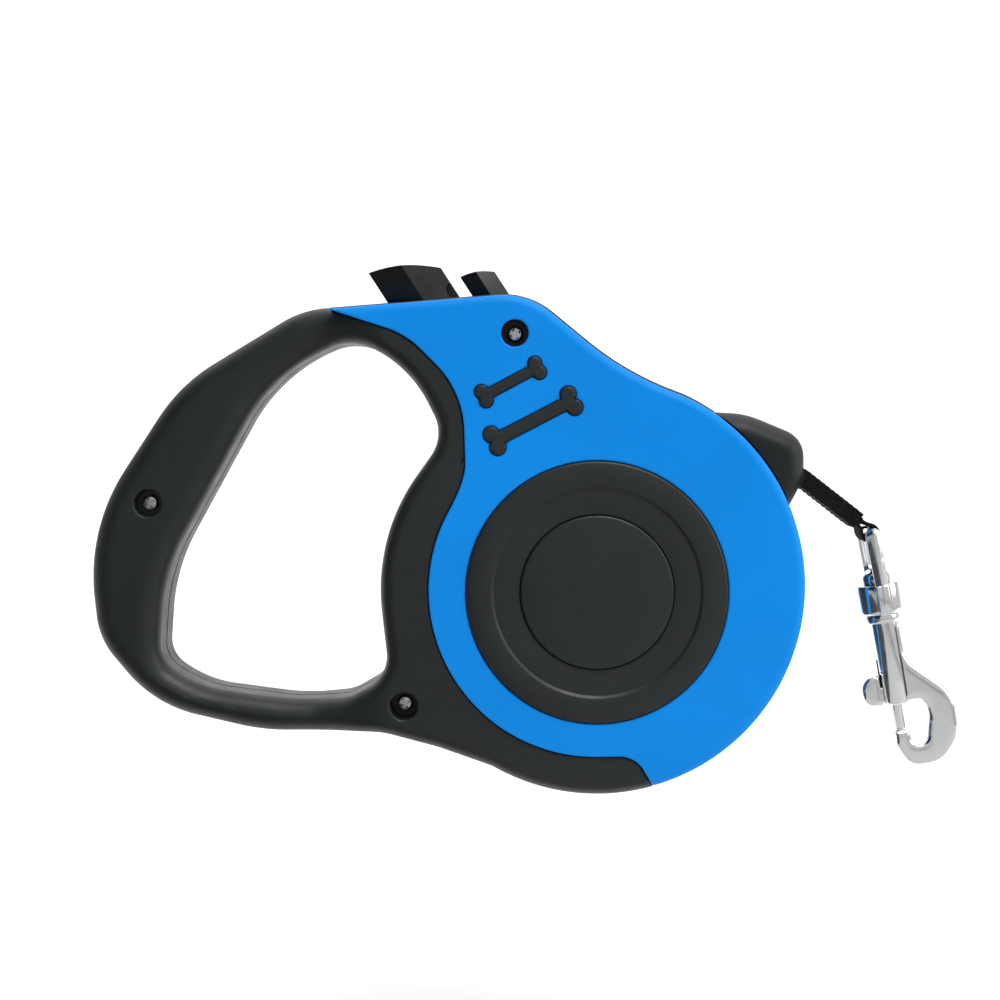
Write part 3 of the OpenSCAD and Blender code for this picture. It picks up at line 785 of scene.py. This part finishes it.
# the tape runs from RUN to BEND inside the case, and from there to EXIT, in the direction OUT
EXIT = np.array((47.3, 26.4))
FALL = math.radians(38)
OUT = np.array((math.cos(FALL), -math.sin(FALL)))
BEND, RUN = np.array((44.4, 28.7)), np.array((12.2, 38.7))
SLOT_HALF, MOUTH_HALF, MOUTH_DEPTH = 0.75, 2.3, 1.2
slot_end, mouth_back = EXIT + OUT * 6, EXIT - OUT * MOUTH_DEPTH
nozzle_segs = segments(NOZZLE_LINE, True)


def strip_distance(p, a, b):
    d = b - a
    t = np.clip(((p - a) @ d) / (d @ d), 0, 1)
    return np.linalg.norm(p - a - t[:, None] * d, axis=1)


def in_slot(p):
    """The tape's way through the nozzle, and the wider mouth at its end."""
    way = np.minimum(strip_distance(p, RUN, BEND), strip_distance(p, BEND, slot_end)) < SLOT_HALF
    mouth = strip_distance(p, mouth_back + OUT * MOUTH_HALF, EXIT + OUT * 9) < MOUTH_HALF
    mouth &= (p - EXIT) @ OUT > -MOUTH_DEPTH
    return way | mouth


def nozzle_top(p):
    d = distance(p, nozzle_segs)
    y = 9.4 - fall(d, 4.6, 6.6)
    return np.where(within(p, OUTER) & (distance(p, outer_segs) > 0.02), np.minimum(y, 6.9), y)


slot_side = np.array((-OUT[1], OUT[0]))
run_dir = unit(BEND - RUN)
run_side = np.array((-run_dir[1], run_dir[0]))
slot_lines = []
for s in (SLOT_HALF, -SLOT_HALF):
    line = np.array([RUN + run_side * s, BEND + run_side * s, slot_end + slot_side * s])
    slot_lines.append((dense(line, 0.9, False), False))
line = np.array([mouth_back + slot_side * MOUTH_HALF, mouth_back - slot_side * MOUTH_HALF])
slot_lines.append((dense(line, 0.5, False), False))
for s in (MOUTH_HALF, -MOUTH_HALF):
    line = np.array([mouth_back + slot_side * s, slot_end + slot_side * s])
    slot_lines.append((dense(line, 0.7, False), False))
nozzle = plate(
    "nozzle_front", [(NOZZLE_LINE, True), (OUTER, True)] + slot_lines,
    lambda p: within(p, NOZZLE_LINE) & (np.hypot(p[:, 0], p[:, 1]) > CAVITY_R + 0.2),
    nozzle_top, lambda p: np.where(in_slot(p), 5.35, 0.0),
    (0.05, 0.2, 0.45, 0.8, 1.3, 1.9, 2.6, 3.4, 4.3), NOZZLE, 1.4,
)
nozzle = joined("tape_nozzle_skin", [nozzle, mirrored(nozzle, "nozzle_rear")])
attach(nozzle, "housing")
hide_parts("tape_nozzle")

# ---------------------------------------------------------------- buttons


def button(name, outline, top, length, arch, scoop=None):
    """A button's cap: a prism with a round top about arch (x, z, radius), and a hollow on both sides."""
    cap = prism(name, outline, top, length, 8, BUTTON)
    cx, cz, r = arch
    cut(cap, lathe("arch", [(0, -30), (r, -30), (r, 30), (0, 30)], BUTTON, 360, (cx, cz)), "INTERSECT")
    if scoop:
        a, t, r = scoop
        q = np.array(top) + ACROSS * a + ALONG * t
        for side in (1, -1):
            hollow = [(0, side * 1.5), (r, side * 1.5), (r, side * 30), (0, side * 30)]
            cut(cap, lathe("scoop", hollow, BUTTON, 48, q))
    bevelled(cap, 0.35)
    shade(cap, 9.0)
    return cap


def block(name, a0, a1, y0, y1, top, length, below):
    """A square prism inside a button's channel, from a0 to a1 across, which starts below its top."""
    return prism(name, [(a0, y0), (a1, y0), (a1, y1), (a0, y1)], top, length, -below, BUTTON)


brake = button("brake_cap", hexagon(7.4, 6.3, 3.6), BRAKE_TOP, 16.5, (-42.1, 40.1, 35), (7.9, 11.0, 2.5))
brake_foot = block("brake_foot", -5.6, -0.4, -9.2, 3.4, BRAKE_TOP, 18.4, 15.9)
brake_pawl = block("brake_pawl", -4.7, -1.3, -9.2, -7.0, BRAKE_TOP, 43.6, 15.9)
brake = joined("brake_cap", [brake, bevelled(brake_foot, 0.3), bevelled(brake_pawl, 0.25)])
lock = button("lock_cap", hexagon(3.7, 5.2, 3.4), LOCK_TOP, 24, (-25.3, 58.1, 15.7))
cut(lock, block("slot", -2.6, 2.2, -20, 20, LOCK_TOP, 19.4, 10.4))
lock_foot = block("lock_foot", -7.6, 3.7, -9.2, 3, LOCK_TOP, 24, 21.8)
lock_pawl = block("lock_pawl", -7.5, -4.5, -9.2, -7.0, LOCK_TOP, 34.9, 21.8)
lock = joined("lock_cap", [lock, bevelled(lock_foot, 0.3), bevelled(lock_pawl, 0.25)])
for piece, body, node in ((brake, "brake", "brake_button"), (lock, "lock", "lock_button")):
    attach(piece, body)
    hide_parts(node)

# ---------------------------------------------------------------- sewn end of the tape

PIVOT = np.array((64.1, 12.6))


def along_tape(s, n, y):
    """A point s along the tape from the nozzle's mouth, n above its middle, at depth y."""
    q = EXIT + OUT * s + slot_side * n
    return (q[0], y, q[1])


def sweep_block(name, sections, material, angle=40.0):
    """A closed solid through sections, each the same number of points."""
    verts = [p for section in sections for p in section]
    n = len(sections[0])
    faces = [tuple(range(n)), tuple(range(len(verts) - 1, len(verts) - n - 1, -1))]
    for k in range(len(sections) - 1):
        for i in range(n):
            a, b = k * n + i, k * n + (i + 1) % n
            faces.append((a, a + n, b + n, b))
    return mesh_object(name, verts, faces, material, angle)


def round_section(s, thick, wide, r, corners=4):
    """Rounded rectangle across the tape."""
    out = []
    for cn, cy, first in ((1, 1, 0), (1, -1, 270), (-1, -1, 180), (-1, 1, 90)):
        for k in range(corners + 1):
            a = math.radians(first + 90 - 90 * k / corners)
            n = cn * (thick / 2 - r) + r * math.cos(a)
            y = cy * (wide / 2 - r) + r * math.sin(a)
            out.append(along_tape(s, n, y))
    return out


def tape_layer(name, s0, s1, n0, thick, wide, wobble, seed):
    """One layer of the sewn end, from s0 to s1 along the tape, whose edges wander by about wobble."""
    rng = np.random.default_rng(seed)
    steps = max(6, int((s1 - s0) / 0.8))
    sections = []
    for k in range(steps + 1):
        s = s0 + (s1 - s0) * k / steps
        jitter = wobble * math.sin(s * 1.9 + seed) + rng.uniform(-1, 1) * wobble * 0.4
        points = []
        for a in range(20):
            t = 2 * math.pi * a / 20
            c, d = math.cos(t), math.sin(t)
            n = math.copysign(abs(c) ** 0.22, c) * thick / 2
            y = math.copysign(abs(d) ** 0.18, d) * (wide / 2 + jitter)
            points.append(along_tape(s, n0 + n, y))
        sections.append(points)
    return sweep_block(name, sections, TAPE, 60.0)


LAYERS, LAYER_SPACE, STACK_END = 5, 0.78, 18.2
layers = []
for k in range(LAYERS):
    off = k - (LAYERS - 1) / 2
    end = STACK_END - 0.9 * abs(off) ** 1.4 * 0.35
    layers.append(tape_layer(f"layer{k}", 0.25, end, off * LAYER_SPACE, 0.8, 9.92, 0.012, k + 1))

# the loop at the end, round the clip's bar at PIVOT
loop_sections = []
link = STACK_END - 0.8
tilt = math.degrees(math.atan2(OUT[1], OUT[0]))
turn = [math.radians(tilt + 180 - a) for a in np.linspace(48, 312, 22)]
path = [EXIT + OUT * link + slot_side * 0.5, EXIT + OUT * (link + 1.6) + slot_side * 0.62]
path += [PIVOT - 0.42 * OUT + 1.88 * np.array((math.cos(t), math.sin(t))) for t in turn]
path += [EXIT + OUT * (link + 1.6) - slot_side * 1.0, EXIT + OUT * link - slot_side * 0.6]
path = dense(np.array(path), 0.5, False)
side = normals(path, False)
for q, m in zip(path, side):
    section = []
    for a in range(16):
        t = 2 * math.pi * a / 16
        c, d = math.cos(t), math.sin(t)
        w = q + m * math.copysign(abs(c) ** 0.5, c) * 0.42
        section.append((w[0], math.copysign(abs(d) ** 0.2, d) * 4.55, w[1]))
    loop_sections.append(section)
loop = sweep_block("tape_loop", loop_sections, TAPE, 60.0)
sewn = joined("tape_sewn_end", layers + [loop])
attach(sewn, "leash_end")
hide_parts("tape_end")

# two rows of stitches at the edges and one between them, on both faces of the sewn end
STITCH_SPACE, STITCH_LONG, STITCH_R, STITCH_LIFT, STACK_FACE = 1.38, 0.95, 0.11, 0.10, 1.93
stitches = []
for row in (-4.15, 4.15, 0.0):
    for k in range(11):
        for face in (1, -1):
            sections = []
            for u in [j / 6 for j in range(7)]:
                s = 1.6 + k * STITCH_SPACE + STITCH_LONG * (u - 0.5)
                n = face * (STACK_FACE + STITCH_LIFT * math.sin(math.pi * u) * 0.55)
                r = STITCH_R * math.sqrt(max(0.02, 1 - (2 * u - 1) ** 4))
                turn = np.linspace(0, 2 * math.pi, 8, endpoint=False)
                sections.append([along_tape(s, n + r * math.cos(a), row + r * math.sin(a)) for a in turn])
            stitches.append(sweep_block("stitch", sections, THREAD, 60.0))
stitches = joined("tape_stitches", stitches)
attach(stitches, "leash_end")

# the single tape between the nozzle and its sewn end, a short piece at the nozzle's mouth
sections = [round_section(s, 0.64, 9.9, 0.2) for s in np.linspace(-0.5, 1.2, 12)]
single = sweep_block("tape_between", sections, TAPE, 60.0)
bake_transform(single)

# ---------------------------------------------------------------- clip

LEAN = math.radians(9.3)
to_clip = Matrix((
    (math.cos(LEAN), 0, -math.sin(LEAN), PIVOT[0]),
    (0, 1, 0, 0),
    (math.sin(LEAN), 0, math.cos(LEAN), PIVOT[1]),
    (0, 0, 0, 1),
))


def on_clip(verts):
    """Points across, in depth and down the clip's axis, as points of the case's own drawing."""
    return [tuple((to_clip @ Vector((u, y, -t, 1)))[:3]) for u, y, t in verts]


def turned(name, profile, turns=64):
    """A solid turned about the clip's axis. profile is (radius, distance down the axis)."""
    verts, faces, rings = [], [], []
    for r, t in profile:
        if r < 1e-6:
            rings.append([len(verts)])
            verts.append((0, 0, t))
        else:
            rings.append(list(range(len(verts), len(verts) + turns)))
            around = [2 * math.pi * k / turns for k in range(turns)]
            verts += [(r * math.cos(a), r * math.sin(a), t) for a in around]
    for a, b in zip(rings, rings[1:]):
        for k in range(turns):
            face = (a[k % len(a)], a[(k + 1) % len(a)], b[(k + 1) % len(b)], b[k % len(b)])
            face = tuple(dict.fromkeys(face))
            if len(face) > 2:
                faces.append(face)
    return mesh_object(name, on_clip(verts), faces, CHROME)


def clip_box(name, low, high):
    """A box between two opposite corners."""
    (a, b, c), (d, e, f) = low, high
    verts = [(u, y, t) for t in (c, f) for u, y in ((a, b), (d, b), (d, e), (a, e))]
    return mesh_object(name, on_clip(verts), BOX_FACES, CHROME)


def clip_plate(name, corners, half, edge, drop, grid):
    """A flat casting with rounded edges, both sides alike. corners are (across, -down, radius)."""
    line = dense(rounded(corners, 0.45), 0.6, True)
    segs = segments(line, True)
    top = lambda p: half - fall(distance(p, segs), edge, drop)
    inside = lambda p: within(p, line)
    rows = [edge * f for f in (0.02, 0.08, 0.18, 0.32, 0.5, 0.72, 0.96)]
    front = plate(name, [(line, True)], inside, top, lambda p: np.zeros(len(p)), rows, CHROME, grid)
    move = Matrix.Translation(SHIFT * MM) @ Matrix.Diagonal((MM, MM, MM, 1))
    front.data.transform(move @ to_clip @ move.inverted())
    back = mirrored(front, name + "_back")
    return joined(name, [front, back])


def strap(sign):
    """One of the swivel eye's two V-faced straps, from stations down the axis with half the width at each."""
    stations = [
        (-1.4, 0.6), (-1.22, 1.0), (-0.85, 1.38), (-0.3, 1.64), (0.4, 1.75), (3, 1.72), (7, 1.62), (11, 1.5),
        (15, 1.38), (18.1, 1.32),
    ]
    sections = []
    for t, w in stations:
        c = 0.12 * max(0, t) / 18
        shape = [
            (-w, 5.35), (w, 5.35), (w + 0.02, 6.0), (w - 0.1, 6.28), (0.28, 7.0), (0.0, 7.08), (-0.28, 7.0),
            (-w + 0.1, 6.28), (-w - 0.02, 6.0),
        ]
        sections.append(on_clip([(u + c, sign * y, t) for u, y in shape]))
    return sweep_block("strap", sections, CHROME, 25.0)


straps = [bevelled(strap(side), 0.12, 2, 28.0) for side in (1, -1)]
BAR_R = 0.98
turn = np.linspace(0, 2 * math.pi, 28, endpoint=False)
bar_sections = [
    on_clip([(BAR_R * math.cos(a), y, BAR_R * math.sin(a)) for a in turn]) for y in np.linspace(-5.8, 5.8, 13)
]
bar = sweep_block("eye_bar", bar_sections, CHROME, 40.0)
ring = turned("eye_ring", [
    (2.05, 12.0), (2.2, 11.9), (4.6, 11.9), (4.82, 12.0), (5.0, 12.3), (5.06, 12.8), (5.06, 18.0),
    (5.0, 18.5), (4.8, 18.85), (4.5, 19.0), (2.2, 19.0), (2.05, 18.9), (2.05, 12.0),
], 96)
shoulders = [clip_box("shoulder", (-1.42, y, 11.95), (1.42, y + 3.0, 18.9)) for y in (4.0, -7.0)]
eye = joined("clip_eye_chrome", straps + [bar, ring] + [bevelled(s, 0.25, 3) for s in shoulders])
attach(eye, "clip_eye")
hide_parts("swivel_eye")

head = turned("snap_head", [
    (0, 8.22), (0.9, 8.3), (1.9, 8.62), (2.7, 9.15), (3.2, 9.8), (3.38, 10.5), (3.38, 11.4), (3.25, 11.75),
    (2.9, 11.82), (1.98, 11.82), (1.98, 19.25), (3.75, 19.25), (3.98, 19.33), (4.05, 19.5), (4.05, 20.75),
    (3.95, 20.95), (3.7, 21.05), (3.1, 21.1), (3.05, 21.6), (0, 21.6),
], 96)
barrel = turned("snap_barrel", [
    (0, 21.2), (3.1, 21.2), (3.1, 39.7), (3.02, 40.1), (2.8, 40.35), (2.5, 40.4), (0, 40.4),
], 96)
cut(barrel, clip_box("key_slot", (-9, -1.08, 29.6), (0, 1.08, 44)))
cut(barrel, turned("bore", [(0, 24.3), (1.56, 24.3), (1.56, 44), (0, 44)], 48))
hook_corners = [
    (1.75, -21.3, 0), (3.3, -21.3, 0), (3.5, -30.6, 6), (13.3, -40, 9), (13.1, -50.2, 8), (8, -55.4, 6),
    (0.6, -55.5, 4), (-1.9, -50, 3), (-1.7, -46.6, 0.5), (1.6, -46.6, 0.5), (2.1, -50.4, 1.4),
    (5.3, -50.3, 1.6), (6.8, -44.5, 8), (6.4, -39.9, 2.4), (1.75, -40.2, 0),
]
hook = clip_plate("snap_hook", hook_corners, 2.5, 1.25, 1.1, 0.8)
snap = joined("clip_snap_chrome", [head, barrel, hook])
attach(snap, "clip_body")
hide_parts("snap_body")

rod = turned("bolt_rod", [
    (0, 36), (1.2, 36), (1.43, 36.2), (1.43, 46.0), (1.32, 46.3), (1.1, 46.4), (0, 46.4),
])
neck = clip_box("bolt_neck", (-4.4, -0.98, 36.2), (0, 0.98, 39.6))
thumb_corners = [(-3.3, -32.8, 1), (-7.7, -33.6, 3.6), (-7.7, -40.3, 2.6), (-3.3, -40.3, 0.4)]
thumb = clip_plate("bolt_thumb", thumb_corners, 2.3, 1.0, 0.9, 0.7)
bolt = joined("clip_bolt_chrome", [rod, bevelled(neck, 0.2), thumb])
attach(bolt, "clip_bolt")
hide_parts("snap_bolt")

# ---------------------------------------------------------------- CAD pieces that show as they are

for name, material in (
    ("spring_arbor", ARBOR), ("power_spring", SPRING), ("brake_spring", SPRING), ("snap_spring", SPRING),
    ("spool", SPOOL), ("spool_cover", SPOOL), ("wound_tape", TAPE), ("tape_run", TAPE),
    ("tape_anchor_pin", ARBOR),
):
    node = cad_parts[name]
    node.data.materials.clear()
    node.data.materials.append(material)

# ---------------------------------------------------------------- floor, world and lights

FLOOR = -0.135


def stage_mesh(name, verts, faces, colour, smooth_faces=False):
    """A dull sheet that belongs to the stage and not to the object."""
    mesh = bpy.data.meshes.new(name)
    mesh.from_pydata(verts, [], faces)
    material = Nodes(name).set(Base_Color=(*colour, 1), Roughness=0.9).material
    mesh.materials.append(material)
    for p in mesh.polygons:
        p.use_smooth = smooth_faces
    obj = bpy.data.objects.new(name, mesh)
    scene.collection.objects.link(obj)
    return obj


bend = [(-3.0, FLOOR), (0.7, FLOOR)] + [
    (0.7 + 0.8 * math.sin(a), FLOOR + 0.8 * (1 - math.cos(a))) for a in np.linspace(0.1, math.pi / 2, 12)
] + [(1.5, 3.2)]
sweep_verts = [(x, y, z) for y, z in bend for x in (-4, 4)]
sweep_faces = [(2 * k, 2 * k + 1, 2 * k + 3, 2 * k + 2) for k in range(len(bend) - 1)]
stage_mesh("sweep", sweep_verts, sweep_faces, (0.9, 0.9, 0.9), True)


def card(name, centre, size, facing, colour):
    """A sheet that is seen only in reflections."""
    direction = (Vector(facing) - Vector(centre)).normalized()
    turn = direction.to_track_quat("Z", "Y").to_matrix()
    w, h = size[0] / 2, size[1] / 2
    corners = ((-w, -h), (w, -h), (w, h), (-w, h))
    verts = [tuple(Vector(centre) + turn @ Vector((x, y, 0))) for x, y in corners]
    board = stage_mesh(name, verts, [(0, 1, 2, 3)], colour)
    board.visible_camera = board.visible_diffuse = board.visible_shadow = False


AIM = (0.1, 0, 0)


def area(name, where, size, power, aim=AIM):
    light = bpy.data.lights.new(name, "AREA")
    light.shape = "RECTANGLE"
    light.size, light.size_y = size
    light.energy = power
    obj = bpy.data.objects.new(name, light)
    scene.collection.objects.link(obj)
    obj.location = where
    obj.rotation_euler = (Vector(aim) - Vector(where)).to_track_quat("-Z", "Y").to_euler()


area("key", (0.30, -0.40, 0.78), (0.5, 0.5), 5.6)
area("side", (0.84, -0.13, 0.27), (0.4, 0.5), 2.4)
area("top", (0.1, 0.0, 1.3), (1.2, 0.8), 1.5)
area("back", (0.0, 0.6, 1.1), (2.4, 0.9), 15, (0, 1.5, 0.0))
card("dark_left", (-0.60, -0.50, 0.05), (1.15, 1.7), (0.12, 0, 0), (0.012, 0.012, 0.012))
card("grey_front", (0.1, -0.86, FLOOR + 0.002), (2.6, 1.68), (0.1, -0.86, 1), (0.42, 0.42, 0.42))
card("dark_low", (-0.14, -0.23, FLOOR + 0.004), (0.36, 0.42), (-0.14, -0.23, 1), (0.03, 0.03, 0.03))

world = bpy.data.worlds.new("world")
scene.world = world
world.use_nodes = True
world.node_tree.nodes["Background"].inputs["Color"].default_value = (1, 1, 1, 1)
world.node_tree.nodes["Background"].inputs["Strength"].default_value = 0.58

scene.view_settings.view_transform = "Standard"
scene.view_settings.look = "None"
